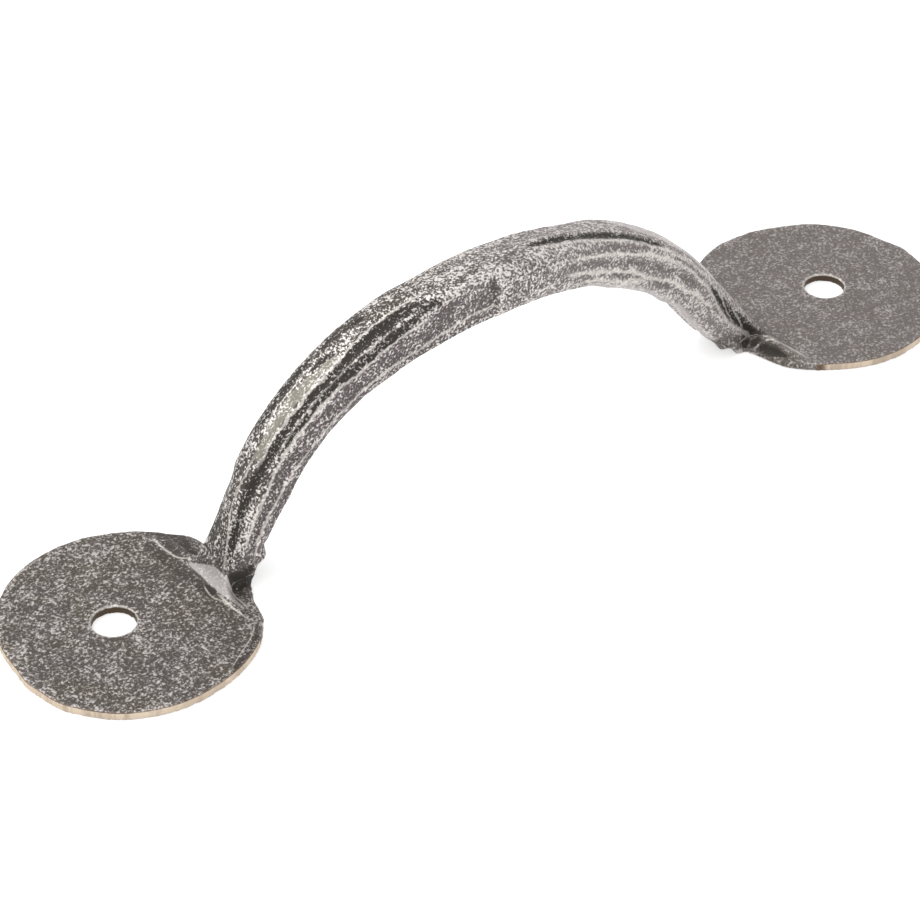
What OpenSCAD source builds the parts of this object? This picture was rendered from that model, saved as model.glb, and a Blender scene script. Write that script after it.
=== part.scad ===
// Penny end bow handle, forged from one piece of sheet steel.
// Two round plates lie on the door, each with one screw hole.
// Between them the sheet is rolled into a fluted channel, open at the back,
// and bent into a bow. All sizes are in millimetres.
// X runs along the handle, Z stands up from the door, the door is at z = 0.

/* [Fixing plates] */
// Distance between the two screw holes
hole_spacing = 120; // [100:1:145]
// Diameter of a round plate
plate_d = 34.4; // [28:0.2:41]
// Thickness of the sheet
sheet = 1.2; // [0.8:0.1:1.5]
// Diameter of a screw hole
hole_d = 5.9; // [4:0.1:7.2]
// How far a hole stands outside the middle of its plate
hole_set = 1.9; // [0:0.1:3]
// Width of the worn chamfer round the top of a plate
rim_wear = 0.25; // [0.1:0.05:0.4]

/* [Bow] */
// Height of the crown's outer face above the door
bow_rise = 32; // [26:0.5:39]
// Distance of the crown from the middle, to the right
crown_shift = -2.4; // [-4:0.2:4]
// Length of the flat crown, end to end
crown_length = 40; // [32:1:48]
// Radius of the flat crown
crown_r = 60; // [50:1:90]
// Slope of the left leg from the door
left_slope = 68; // [56:1:80]
// Slope of the right leg from the door
right_slope = 54; // [46:1:66]
// Distance from a hole to the crease at the foot of the bow
crease_set = 14.2; // [11.5:0.1:15]
// Radius of the crease, on its hollow side
crease_r = 2; // [1.6:0.1:2.6]

/* [Channel] */
// Width of the channel at the crown
crown_w = 9.6; // [8:0.1:11.6]
// Depth of the channel at the crown
crown_d = 7.3; // [6.4:0.1:8.8]
// Width of the channel low on a leg
leg_w = 7.1; // [6.6:0.1:9]
// Depth of the channel low on a leg
leg_d = 6.8; // [6.2:0.1:8]
// Depth of the channel where it meets the left plate and the right plate
foot_d = [4.8, 6.2]; // [4:0.1:8]
// Size of the rolled corners
corner = 2.9; // [2.6:0.1:3.2]
// Size of the corners where a leg meets its plate
foot_corner = 0.8; // [0.6:0.1:1.6]
// Length of leg over which depth and corners change to those of the foot
foot_run = 16; // [8:1:24]
// Width of the open seam between the two lips at the back
seam_w = 1.6; // [0.8:0.1:3]

/* [Splayed feet] */
// Left foot: how far the crease runs from the middle, near side and far side
left_spread = [8.3, 11.2]; // [7:0.1:12]
// Right foot: how far the crease runs from the middle, near side and far side
right_spread = [12, 10.4]; // [7:0.1:12]
// Length over which the folds close into the channel, near side and far side
closing = [3, 2.2]; // [2:0.1:6]
// Length over which the lips turn in behind a foot
lip_closing = 5; // [3:0.5:8]
// Depth of the hollow pressed under each fold
pocket = 1.1; // [0:0.1:1.5]

/* [Flutes] */
// Depth of the broad flutes
flute_depth = 0.5; // [0.2:0.05:0.6]
// Depth of the narrow flutes
groove_depth = 0.3; // [0.1:0.05:0.4]

/* [Hidden] */

// Steps across each stretch of half a section, from the middle of the web
WEB_STEPS = 4;
CORNER_STEPS = 5;
FLANK_STEPS = 2;
LIP_STEPS = 2;
HALF = WEB_STEPS + 2 * CORNER_STEPS + FLANK_STEPS + LIP_STEPS;
// Steps along each stretch of one side, from the crown's middle down to the crease
CROWN_STEPS = 5;
SHOULDER_STEPS = 9;
LEG_STEPS = 3;
FOOT_STEPS = 10;
CREASE_STEPS = 8;
// Overlap of the rolled stretch with a flat plate
TONGUE = 1.5;
// Least distance of a crease from the inner rim of its plate's circle
RIM_INSIDE = 4;
// Largest share of a plate's half width that a crease takes up
CREASE_SHARE = 0.85;
// Largest share of a leg, from the knee down, that the shoulder takes up
SHOULDER_SHARE = 0.75;
// Roundings of a fold's ridge and of its hollow, right at the crease
RIDGE_ROUND = 1.4;
HOLLOW_ROUND = 0.8;
// How deep a fold's hollow lies right at the crease, as a share of the way to the door
HOLLOW_SHARE = 0.8;
// Largest shares of a stretch that a rounding at one end, or at both ends, takes up
ONE_END = 0.95;
BOTH_ENDS = 0.48;
// Tightest rounding of a corner on the sheet's hidden side
TIGHTEST = 0.1;
// Least width of the lip while it turns from the outside to the inside of a flank
NARROW = 0.4;
// Parts of a flute's length, one in this many, in which either end runs out
FADE = 5;

hole_x = hole_spacing / 2;
plate_r = plate_d / 2;
plate_x = hole_x - hole_set;
// On a small plate the crease moves out with the plate's inner rim
crease_x = hole_x - min(crease_set, plate_r + hole_set - RIM_INSIDE);
crown_turn = asin(crown_length / 2 / crown_r);

// Outline of the bow, one side at a time. q is the distance from the crown's
// middle, z the height, and the third value the slope of the outer face.
function leg_slope(side) = side < 0 ? left_slope : right_slope;
function foot_q(side) = crease_x - side * crown_shift;
function bend_q(side) = foot_q(side) + crease_r * tan(leg_slope(side) / 2);
function crown_end() = [crown_r * sin(crown_turn), bow_rise - crown_r * (1 - cos(crown_turn))];

// Where the crown's tangent meets the line of the leg
function knee_q(side) =
    let (c = crown_end(), s = tan(leg_slope(side)), k = tan(crown_turn))
    (s * foot_q(side) + sheet - c.y - k * c.x) / (s - k);
function knee(side) =
    let (c = crown_end(), q = knee_q(side))
    [q, c.y - (q - c.x) * tan(crown_turn)];
// How far the rounding of the shoulder reaches from the knee, at most a share of the leg
function knee_reach(side) =
    min(norm(knee(side) - crown_end()), norm(knee(side) - leg_low(side)) * SHOULDER_SHARE);
function shoulder_start(side) =
    let (k = knee(side), c = crown_end())
    k + (c - k) * knee_reach(side) / norm(c - k);
function shoulder_r(side) =
    knee_reach(side) / tan((leg_slope(side) - crown_turn) / 2);

function arc(cx, cz, r, from, to, steps) =
    [for (i = [0:steps - 1])
        let (a = from + (to - from) * i / steps)
        [cx + r * sin(a), cz + r * cos(a), a]];

function crown_points() =
    arc(0, bow_rise - crown_r, crown_r, 0, crown_turn, CROWN_STEPS);
function shoulder_points(side) =
    let (r = shoulder_r(side), c = shoulder_start(side))
    arc(c.x - r * sin(crown_turn), c.y - r * cos(crown_turn), r,
        crown_turn, leg_slope(side), SHOULDER_STEPS);
function leg_top(side) =
    knee(side) + knee_reach(side) * [cos(leg_slope(side)), -sin(leg_slope(side))];
function leg_low(side) = let (a = leg_slope(side))
    [bend_q(side) - crease_r * sin(a), sheet + crease_r * (1 - cos(a))];
function straight(from, to, a, steps) =
    [for (i = [0:steps - 1]) let (p = from + (to - from) * i / steps) [p.x, p.y, a]];
function leg_points(side) =
    let (top = leg_top(side), low = leg_low(side), length = norm(low - top),
         foot = min(length / 2, max(closing) + lip_closing - crease_length(side)),
         opening = low + (top - low) * foot / length)
    concat(straight(top, opening, leg_slope(side), LEG_STEPS),
           straight(opening, low, leg_slope(side), FOOT_STEPS));
// Length of the outer face round a crease
function crease_length(side) = crease_r * leg_slope(side) * PI / 180;
function crease_points(side) =
    let (a = leg_slope(side))
    [for (i = [0:CREASE_STEPS])
        let (b = a * (1 - i / CREASE_STEPS))
        [bend_q(side) - crease_r * sin(b), sheet + crease_r * (1 - cos(b)), b]];
function tongue_points(side) = [[bend_q(side) + TONGUE, sheet, 0]];
function side_points(side) = concat(crown_points(), shoulder_points(side),
    leg_points(side), crease_points(side), tongue_points(side));

// Half width of a plate, measured across the handle, at distance x from the middle
function chord(x) = sqrt(max(0, plate_r * plate_r - (x - plate_x) * (x - plate_x)));

function mix(a, b, t) = a + (b - a) * t;
function ease(t) = let (c = min(1, max(0, t))) c * c * (3 - 2 * c);

// How far a point of the outline is from the flat plate, along the outer face
function run_up(p, side) =
    let (low = leg_low(side))
    p.x > low.x - 0.001 ? crease_r * p[2] * PI / 180
    : norm([p.x, p.y] - low) + crease_length(side);

// Corners of half a section: ridge, bottom of the flank and free edge, each as
// [distance from the middle, depth below the outer face], and the two roundings.
// face is 0 for the near half and 1 for the far half.
function channel(p, side) =
    let (t = ease(p.x / foot_q(0)),
         low = ease(1 - run_up(p, side) / foot_run),
         w = mix(crown_w, leg_w, t) / 2,
         d = mix(mix(crown_d, leg_d, t), foot_d[side < 0 ? 0 : 1], low))
    [[w, 0], [w, d], [seam_w / 2, d], mix(corner, foot_corner, low),
     min(corner, (w - seam_w / 2) * ONE_END)];
function spread(side, face) = side < 0 ? left_spread[face] : right_spread[face];
// Near a crease the free edges stay on the door and follow the plate's rim
function opened(p, side, face) =
    let (slope = p[2],
         rise = p.y / cos(slope) - sheet,
         d = min(rise, channel(p, side)[1].y - sheet),
         edge_x = p.x - (rise + sheet) * sin(slope) + side * crown_shift,
         ridge = min(spread(side, face), chord(bend_q(side) + side * crown_shift) * CREASE_SHARE),
         edge = max(chord(edge_x), channel(p, side)[1].x + NARROW))
    [[ridge, 0], [(ridge + edge) / 2, d * HOLLOW_SHARE], [edge, d], RIDGE_ROUND, HOLLOW_ROUND];
function corners(p, side, face) =
    let (run = run_up(p, side),
         fold = ease(run / closing[face]),
         turn = ease((run - closing[face]) / lip_closing),
         o = opened(p, side, face),
         c = channel(p, side),
         dent = pocket * 4 * fold * (1 - fold),
         flank = mix(o[1], [c[1].x, o[2].y], fold) - [dent, 0],
         lip = max(NARROW, norm(o[2] - flank) * (1 - turn), (c[1].x - c[2].x) * (2 * turn - 1)),
         aim = [cos(180 * turn), sin(180 * turn)],
         low = flank + [0, sheet * (1 - max(0, aim.x)) - lip * aim.y])
    [mix(o[0], c[0], fold), low, turn > 0 ? low + lip * aim : o[2],
     mix(o[3], c[3], fold), mix(o[4], c[4], turn)];

function unit(v) = norm(v) < 1e-9 ? [0, 0] : v / norm(v);
function bezier(a, b, c, t) = (1 - t) * (1 - t) * a + 2 * t * (1 - t) * b + t * t * c;
function stretch(a, b, steps) = [for (i = [0:steps - 1]) mix(a, b, i / steps)];
function rounded(a, b, c, steps) = [for (i = [0:steps - 1]) bezier(a, b, c, i / steps)];
function half_section(k, middle) =
    let (a1 = k[0] + unit(middle - k[0]) * min(k[3], norm(k[0] - middle) * ONE_END),
         b1 = k[0] + unit(k[1] - k[0]) * min(k[3], norm(k[1] - k[0]) * BOTH_ENDS),
         a2 = k[1] + unit(k[0] - k[1]) * min(k[4], norm(k[1] - k[0]) * BOTH_ENDS),
         b2 = k[1] + unit(k[2] - k[1]) * min(k[4], norm(k[2] - k[1]) * ONE_END))
    concat(stretch(middle, a1, WEB_STEPS), rounded(a1, k[0], b1, CORNER_STEPS),
           stretch(b1, a2, FLANK_STEPS), rounded(a2, k[1], b2, CORNER_STEPS),
           stretch(b2, k[2], LIP_STEPS), [k[2]]);
// The whole line across the section, from the near free edge to the far one
function whole(near, far) = concat([for (i = [HALF:-1:1]) [-near[i].x, near[i].y]], far);
// The corners of the sheet's hidden side, which lies to the left of each stretch
function left_of(t) = [-t.y, t.x];
function mitre(s, t) = sheet * (left_of(s) + left_of(t)) / (1 + s * t);
function shortened(s, t) = sheet * (s.x * t.y - s.y * t.x) / (1 + s * t);
function hidden_side(k) =
    let (web = [1, 0], flank = unit(k[1] - k[0]), lip = unit(k[2] - k[1]))
    [k[0] + mitre(web, flank), k[1] + mitre(flank, lip), k[2] + sheet * left_of(lip),
     max(TIGHTEST, k[3] - shortened(web, flank)), max(TIGHTEST, k[4] - shortened(flank, lip))];

// Each flute: where it runs along X, its place across the section at either
// end (-1 is the near lip, 0 the middle of the web, 1 the far lip), half its
// width on the same scale, and its depth
FLUTES = [
    [[-43, -6], [-0.20, -0.22], 0.15, flute_depth],
    [[-42, 2], [-0.50, -0.50], 0.13, groove_depth],
    [[2, 40], [-0.20, -0.18], 0.07, groove_depth],
    [[4, 40], [-0.50, -0.46], 0.10, flute_depth],
    [[0, 36], [-0.68, -0.66], 0.07, groove_depth],
    [[-38, 34], [0.34, 0.30], 0.13, flute_depth],
    [[-34, 38], [0.62, 0.60], 0.12, groove_depth],
];
function hollow(g, x, f) =
    let (along = (x - f[0][0]) / (f[0][1] - f[0][0]),
         place = mix(f[1][0], f[1][1], along),
         t = (g - place) / f[2],
         fade = ease(along * FADE) * ease((1 - along) * FADE))
    abs(t) < 1 ? f[3] * fade * (1 - t * t) : 0;
function sum(v, i = 0) = i < len(v) ? v[i] + sum(v, i + 1) : 0;
function fluting(g, x) = sum([for (f = FLUTES) hollow(g, x, f)]);

// Inward normal of the outer line at point i
function inward(line, i) =
    let (a = line[max(0, i - 1)], b = line[min(len(line) - 1, i + 1)], t = unit(b - a))
    [-t.y, t.x];
function pressed(line, face, x) =
    [for (i = [0:len(line) - 1])
        line[i] + inward(face, i) * fluting((i - HALF) / HALF, x)];
function backwards(v) = [for (i = [len(v) - 1:-1:0]) v[i]];

function placed(p, side, section) =
    [for (s = section)
        [crown_shift + side * (p.x - s.y * sin(p[2])), s.x, p.y - s.y * cos(p[2])]];
function ring(p, side) =
    let (x = crown_shift + side * p.x,
         near = corners(p, side, 0),
         far = corners(p, side, 1),
         face = whole(half_section(near, [0, 0]), half_section(far, [0, 0])),
         back = whole(half_section(hidden_side(near), [0, sheet]),
                      half_section(hidden_side(far), [0, sheet])))
    placed(p, side, concat(pressed(face, face, x), backwards(pressed(back, face, x))));

module rolled_bow() {
    left = side_points(-1);
    right = side_points(1);
    rings = concat([for (i = [len(left) - 1:-1:1]) ring(left[i], -1)],
                   [for (p = right) ring(p, 1)]);
    n = len(rings[0]);
    last = len(rings) - 1;
    points = [for (r = rings) for (p = r) p];
    walls = [for (i = [0:last - 1]) for (j = [0:n - 1])
        let (k = (j + 1) % n)
        [i * n + j, i * n + k, (i + 1) * n + k, (i + 1) * n + j]];
    ends = [for (j = [0:n / 2 - 2]) each
        [[n - 1 - j, n - 2 - j, j + 1, j],
         [for (k = [j, j + 1, n - 2 - j, n - 1 - j]) last * n + k]]];
    polyhedron(points = points, faces = concat(walls, ends), convexity = 6);
}

module plate(side) {
    edge = bend_q(side) + side * crown_shift;
    intersection() {
        translate([side * plate_x, 0, 0]) union() {
            cylinder(r = plate_r, h = sheet - rim_wear, $fn = 96);
            translate([0, 0, sheet - rim_wear])
                cylinder(r1 = plate_r, r2 = plate_r - rim_wear, h = rim_wear, $fn = 96);
        }
        translate([side > 0 ? edge : -edge - plate_d, -plate_d, -1])
            cube([plate_d, 2 * plate_d, sheet + 2]);
    }
}

module bow_handle() {
    color("dimgray") difference() {
        union() {
            rolled_bow();
            plate(-1);
            plate(1);
        }
        for (side = [-1, 1])
            translate([side * hole_x, 0, -1]) cylinder(d = hole_d, h = sheet + 2, $fn = 48);
    }
}

bow_handle();
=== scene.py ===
"""Looks of a penny end bow handle: forged sheet steel with a dark pewter patina.

Sizes are in millimetres until the finished mesh is brought to metres.
"""

import logging
import math
from dataclasses import dataclass, field
from enum import Enum

import bmesh
import bpy
from mathutils import Matrix, Vector, noise
from mathutils.kdtree import KDTree

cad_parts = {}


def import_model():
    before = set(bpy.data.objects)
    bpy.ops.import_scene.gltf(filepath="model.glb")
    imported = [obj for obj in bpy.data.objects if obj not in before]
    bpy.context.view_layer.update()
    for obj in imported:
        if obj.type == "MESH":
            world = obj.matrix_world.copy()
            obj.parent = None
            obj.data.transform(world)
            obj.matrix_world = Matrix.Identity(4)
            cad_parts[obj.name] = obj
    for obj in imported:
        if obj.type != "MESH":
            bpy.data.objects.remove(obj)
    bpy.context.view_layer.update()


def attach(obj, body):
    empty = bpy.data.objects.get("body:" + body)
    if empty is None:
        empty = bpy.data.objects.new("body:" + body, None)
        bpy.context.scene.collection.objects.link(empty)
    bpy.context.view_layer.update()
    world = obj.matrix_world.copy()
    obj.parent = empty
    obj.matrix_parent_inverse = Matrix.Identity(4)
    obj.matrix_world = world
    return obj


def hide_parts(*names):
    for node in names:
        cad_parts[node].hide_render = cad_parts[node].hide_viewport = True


LOG = logging.getLogger("bow_handle")
Socket = bpy.types.NodeSocket
MM = 0.001
SAME = 1e-4
PHOTO_SIDE = 920
CURVE_SPAN = 128.0
SKIN_MARKS = ("edge", "relief", "tarnish_and_shading", "along", "across", "rim")


class End(Enum):
    """The two ends of the handle."""

    LEFT = -1
    RIGHT = 1


class Half(Enum):
    """The two halves of the channel, as the photograph shows them."""

    NEAR = 0
    FAR = 1


def mix(a: float, b: float, share: float) -> float:
    """Returns the value at a share of the way from a to b."""
    return a + (b - a) * share


def ease(share: float) -> float:
    """Returns a share from 0 to 1 with a soft start and end."""
    kept = min(1.0, max(0.0, share))
    return kept * kept * (3 - 2 * kept)


def arc(radius: float, angle: float) -> tuple[float, float]:
    """Returns how far an arc goes out and how far it drops."""
    return radius * math.sin(angle), radius * (1 - math.cos(angle))


def placed_in_scene(name: str, data: bpy.types.ID) -> bpy.types.Object:
    """Returns a new object, linked to the scene."""
    made = bpy.data.objects.new(name, data)
    bpy.context.scene.collection.objects.link(made)
    return made


def soften(shape: bmesh.types.BMesh, rounds: int) -> None:
    """Smooths every vertex of a shape, a number of times."""
    for _ in range(rounds):
        bmesh.ops.smooth_vert(shape, verts=shape.verts, factor=0.5, use_axis_x=True,
                              use_axis_y=True, use_axis_z=True)


@dataclass(frozen=True)
class Station:
    """A place on the outline of the bow."""

    end: End
    reach: float
    height: float
    slope: float
    run: float
    along: float


@dataclass(frozen=True)
class Corners:
    """Corners of half a section, with the sizes of their two roundings."""

    ridge: Vector
    hollow: Vector
    lip: Vector
    ridge_round: float
    hollow_round: float


@dataclass(frozen=True)
class Flute:
    """A groove pressed along the channel, with its darkening: tarnish, partly patina and partly painted
    shade in the groove, and painted light where it runs below zero.

    Each mark is a distance along the bow from its crown, a place across the
    sheet from the middle of the web (near side negative) and half the width.
    """

    marks: tuple[tuple[float, float, float], ...]
    depth: float
    tarnish_and_shading: float
    fade: float = 6.0

    def at(self, along: float, across: float) -> tuple[float, float]:
        """Measures the groove at one point of the sheet.

        Args:
            along: Distance along the bow from its crown.
            across: Distance from the middle of the web.

        Returns:
            How deep the groove is there, and how dark it is: tarnish and painted shade, with painted
            light below zero.
        """
        first, last = self.marks[0][0], self.marks[-1][0]
        if not first < along < last:
            return 0.0, 0.0
        for start, stop in zip(self.marks, self.marks[1:]):
            if along <= stop[0]:
                break
        share = (along - start[0]) / (stop[0] - start[0])
        place, half = mix(start[1], stop[1], share), mix(start[2], stop[2], share)
        off = abs(across - place) / half
        if off >= 1:
            return 0.0, 0.0
        kept = ease((along - first) / self.fade) * ease((last - along) / self.fade)
        return kept * self.depth * (1 - off * off), kept * self.tarnish_and_shading * (1 - off ** 4)


# Darkening above zero is tarnish with painted shade in the flutes; below zero it is painted light.
FLUTES = (
    Flute(((-56, -2.9, 0.6), (-50, -2.1, 0.8), (-44, -1.9, 0.85), (-38, -2.2, 0.75), (-31, -2.35, 0.75),
           (-25, -2.35, 0.8), (-19, -1.95, 1.0), (-14, -1.75, 1.05), (-9, -2.3, 0.8)), 0.42, 0.55),
    Flute(((-44, -2.3, 0.6), (-38, -2.2, 0.8), (-31, -2.3, 0.85), (-25, -2.3, 0.95),
           (-19, -1.9, 1.15), (-14, -1.75, 1.2), (-9, -2.6, 1.0)), 0.0, 0.65, 3.0),
    Flute(((-39, -3.5, 0.42), (-33, -3.6, 0.52), (-27, -3.7, 0.68), (-21, -4.0, 0.95),
           (-16, -4.0, 0.95), (-11, -3.6, 0.65)), 0.32, 1.0, 3.0),
    Flute(((-12.5, -3.2, 0.7), (-10.3, -3.2, 0.9), (-8, -3.4, 0.7)), 0.1, 1.0, 1.5),
    Flute(((-42, -0.8, 0.55), (-36, -0.5, 0.95), (-31, -0.3, 1.2), (-27, -0.5, 1.0), (-22, -1.1, 0.35)),
          0.12, -1.0, 3.0),
    Flute(((-40, 1.3, 0.5), (-34, 1.7, 0.7), (-27, 2.0, 0.7), (-16, 2.0, 0.6)), 0.16, 0.6),
    Flute(((-28, 0.4, 0.5), (-26.3, 0.5, 0.6), (-24.4, 0.3, 0.55), (-23, 0.2, 0.4)), 0.12, 0.9, 1.0),
    Flute(((-20, 1.6, 0.5), (-18.6, 1.6, 0.6), (-17, 1.6, 0.5)), 0.1, 0.9, 1.0),
    Flute(((-55, -5.4, 0.7), (-46, -5.2, 0.9), (-40, -5.3, 1.1), (-33, -5.7, 1.5), (-28, -6.0, 1.6),
           (-20, -6.4, 1.5), (-10, -6.9, 1.6), (2, -7.0, 1.2)), 0.24, 0.0),
    Flute(((-53, -7.0, 0.6), (-44, -7.4, 0.7), (-36, -8.2, 0.8), (-28, -8.8, 0.9), (-14, -9.8, 0.9),
           (2, -10.0, 0.9)), 0.2, 0.25),
    Flute(((6, -0.9, 0.5), (12, -1.1, 0.9), (17, -1.5, 1.0), (22, -2.0, 0.95), (27, -2.6, 0.75),
           (32, -3.0, 0.4)), 0.36, 0.85, 3.0),
    Flute(((10, -4.1, 0.5), (20, -4.1, 0.65), (28, -3.95, 0.6), (34, -3.9, 0.5), (45, -4.0, 0.4)),
          0.2, 0.25),
    Flute(((9, -6.0, 0.8), (18, -6.2, 1.0), (26, -6.2, 1.1), (32, -5.9, 1.0), (38, -5.5, 0.8),
           (45, -5.2, 0.5)), 0.3, 0.15),
    Flute(((13, -8.1, 0.35), (20, -8.1, 0.4), (27, -8.1, 0.35), (30, -8.2, 0.2)), 0.12, 0.25),
    Flute(((27, -8.9, 0.6), (36, -8.0, 0.9), (44, -7.4, 1.1), (52, -7.2, 1.1), (60, -6.6, 0.8)),
          0.18, 0.1),
    Flute(((43, -3.9, 0.3), (47, -4.2, 0.6), (51, -4.6, 1.0), (55, -4.6, 0.95), (61, -4.5, 0.7)),
          0.35, 1.0, 3.0),
    # Painted glare: a pale band along the right leg's upper edge.
    Flute(((22, 2.2, 1.0), (28, 0.8, 1.6), (33, -0.4, 2.2), (40, -0.9, 2.2), (48, -1.2, 1.8)),
          0.0, -0.9, 3.0),
    # Painted bounce light: a pale band on the right leg's lower inner edge, lit from the floor.
    Flute(((14, -9.7, 0.6), (22, -9.8, 0.9), (30, -10.1, 1.3), (38, -10.2, 1.5), (47, -9.8, 1.2),
           (55, -9.4, 0.8)), 0.0, -0.8, 3.0),
    Flute(((-57, -1.9, 1.5), (-50, -1.7, 1.5), (-44, -1.8, 1.2), (-38, -2.1, 0.8)), 0.0, 0.4, 3.0),
    Flute(((-14, 3.0, 2.0), (-6, 3.0, 2.6), (4, 2.8, 2.8), (14, 2.5, 2.6), (21, 2.2, 2.0)), 0.5, 0.1),
    Flute(((-57, 2.6, 1.6), (-50, 2.8, 2.0), (-42, 3.0, 1.6)), 0.45, 0.2, 4.0),
    Flute(((-56, 2.0, 2.0), (-44, 2.3, 1.9), (-30, 3.2, 1.5), (-14, 3.8, 1.1)), 0.0, 0.45, 4.0),
    Flute(((17, -9.6, 1.7), (26, -9.8, 1.9), (34, -9.8, 1.9), (43, -9.6, 1.6)), -0.8, 0.0),
    Flute(((-44, 4.6, 1.3), (-10, 5.6, 1.6), (30, 5.2, 1.5), (44, 4.2, 1.1)), 0.4, 0.7),
    Flute(((-40, 8.2, 1.2), (0, 9.4, 1.5), (42, 8.0, 1.2)), 0.3, 0.5),
)


@dataclass(frozen=True)
class FootShadeAndGlint:
    """A patch at a foot that is darker (positive) or paler (negative) than the skin. The dark patches are
    painted shade in the feet's recesses, folds and down-turned ears, partly patina; the pale ones are
    painted highlights on the crease facets and bent edges.

    Each mark is a place along and across the handle, seen from above, and
    half the patch's width there.
    """

    marks: tuple[tuple[float, float, float], ...]
    top: float
    tarnish_and_shading: float

    def at(self, point: Vector) -> float:
        """Returns how much of the patch there is at a point."""
        best = 0.0
        place = Vector((point.x, point.y))
        for start, stop in zip(self.marks, self.marks[1:]):
            first, way = Vector(start[:2]), Vector(stop[:2]) - Vector(start[:2])
            share = min(1.0, max(0.0, (place - first).dot(way) / way.length_squared))
            off = (place - first - way * share).length / mix(start[2], stop[2], share)
            best = max(best, ease((1.25 - off) / 0.5))
        return best * ease((self.top - point.z) / 0.3) * self.tarnish_and_shading


# Painted shade (positive) in the feet's recesses and folds, partly patina, and painted highlights
# (negative) on their crease facets and bent edges.
FOOT_SHADE_AND_GLINT = (
    FootShadeAndGlint(((-46.4, 3.4, 0.2), (-46.1, 1.2, 0.5), (-45.85, -1.5, 0.8), (-45.95, -3.6, 0.72),
           (-45.95, -5.4, 0.45), (-45.6, -7.6, 0.18)), 3.2, -1.0),
    FootShadeAndGlint(((-44.6, -3.6, 0.4), (-43.2, -3.9, 0.55), (-41.6, -3.9, 0.5)), 3.4, 0.95),
    FootShadeAndGlint(((-44.4, -4.9, 0.4), (-43.2, -5.3, 0.7), (-42.2, -5.2, 0.6)), 2.6, 0.4),
    FootShadeAndGlint(((-47.0, -1.4, 0.2), (-46.95, -3.2, 0.3)), 1.7, 0.9),
    FootShadeAndGlint(((-45.0, 5.2, 0.9), (-45.2, 7.6, 1.7), (-45.4, 10.2, 1.7)), 2.6, 0.5),
    FootShadeAndGlint(((-48.3, 9.8, 0.7), (-48.2, 5.0, 0.9), (-47.8, 1.0, 0.7), (-47.6, -3.0, 0.6)), 1.7, 0.4),
    FootShadeAndGlint(((-50.2, 8.0, 1.6), (-50.0, 2.0, 1.8), (-48.6, -6.0, 1.4), (-47.6, -9.0, 1.0)), 1.7, 0.12),
    FootShadeAndGlint(((-53.4, -17.0, 0.35), (-50.8, -15.6, 0.45), (-47.6, -13.4, 0.45), (-46.0, -11.8, 0.3)),
          1.7, 0.6),
    FootShadeAndGlint(((43.4, -5.8, 0.75), (43.8, -7.2, 0.85), (44.4, -9.0, 0.35)), 1.7, 0.85),
    FootShadeAndGlint(((42.8, -4.1, 0.3), (43.7, -4.3, 0.25)), 2.0, 1.0),
    FootShadeAndGlint(((41.6, -3.7, 0.35), (42.2, -3.5, 0.3)), 3.0, 0.8),
    FootShadeAndGlint(((42.5, -4.9, 0.15), (43.3, -4.7, 0.15)), 2.0, -1.0),
    FootShadeAndGlint(((40.4, -3.9, 0.3), (41.2, -4.5, 0.3), (42.0, -5.4, 0.3)), 1.2, -0.7),
    FootShadeAndGlint(((45.2, -5.0, 0.35), (45.9, -7.5, 0.5), (46.2, -11.0, 0.4)), 2.6, -0.35),
)


@dataclass(frozen=True)
class RubAndGlintLine:
    """A thin bright line: along the bow, a ridge rubbed bright by hands and tools; across a foot, a
    painted highlight on a crease or bent edge.

    Each mark is a distance along the bow and a place across the sheet. A
    crosswise line is at a foot: its marks are places across and along the handle.
    """

    marks: tuple[tuple[float, float], ...]
    half: float
    level: float
    crosswise: bool = False


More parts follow.
